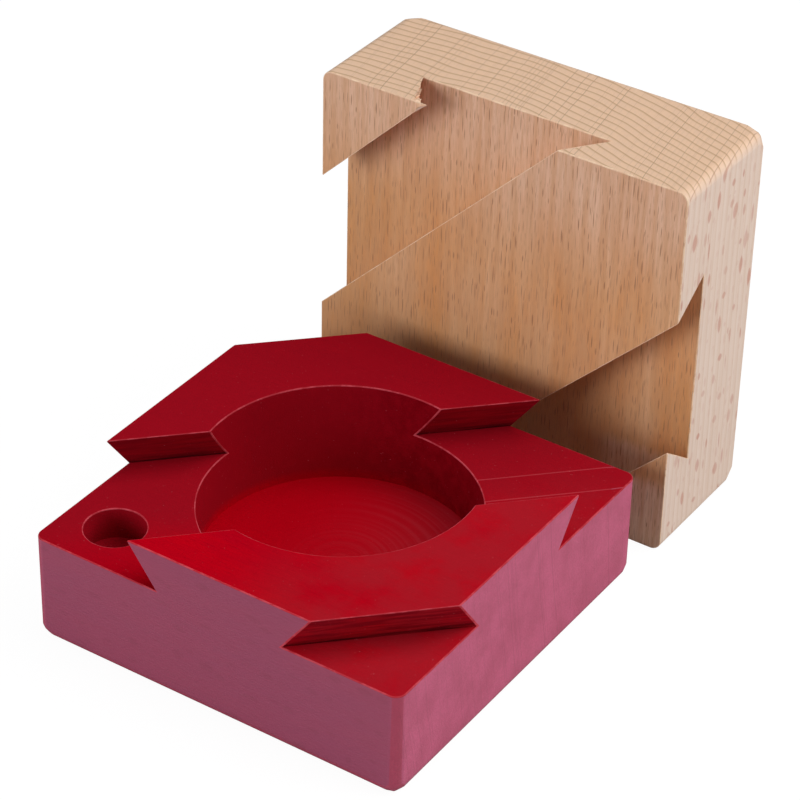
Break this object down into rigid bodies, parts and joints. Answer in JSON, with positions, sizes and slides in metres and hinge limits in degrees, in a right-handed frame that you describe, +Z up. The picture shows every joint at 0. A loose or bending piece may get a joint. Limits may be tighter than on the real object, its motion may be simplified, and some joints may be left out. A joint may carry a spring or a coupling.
{
  "type": "dovetail puzzle box",
  "caption": "Square wooden puzzle box in halves that slide together on diagonal dovetail rails, with a hidden round pocket and a gravity lock pin.",
  "frame": {"origin": "centre of the base half's underside, which is the face it rests on", "axes": "+Z up out of the base's joint face; +X and +Y along the block's sides, so the dovetail slides along the diagonal (+X, +Y); the lock hole is at the (-X, -Y) corner and the lid half stands on its side at +Y"},
  "size_m": [0.0763, 0.1119, 0.075],
  "materials": {
    "stained_beech": "crimson stain under a thin satin lacquer",
    "natural_beech": "bare sanded beech",
    "pin_steel": "turned steel"
  },
  "bodies": {
    "base": {"base_half": "stained_beech"},
    "lid": {"lid_half": "natural_beech"},
    "pin": {"lock_pin": "pin_steel"}
  },
  "joints": [
    {"name": "dovetail_slide", "type": "slide", "parent": "base", "child": "lid", "axis": [0.7071, 0.7071, 0], "range_m": [0, 0.078]},
    {"name": "lock_pin_drop", "type": "slide", "parent": "lid", "child": "pin", "axis": [0, -1, 0], "range_m": [0, 0.0065]}
  ]
}
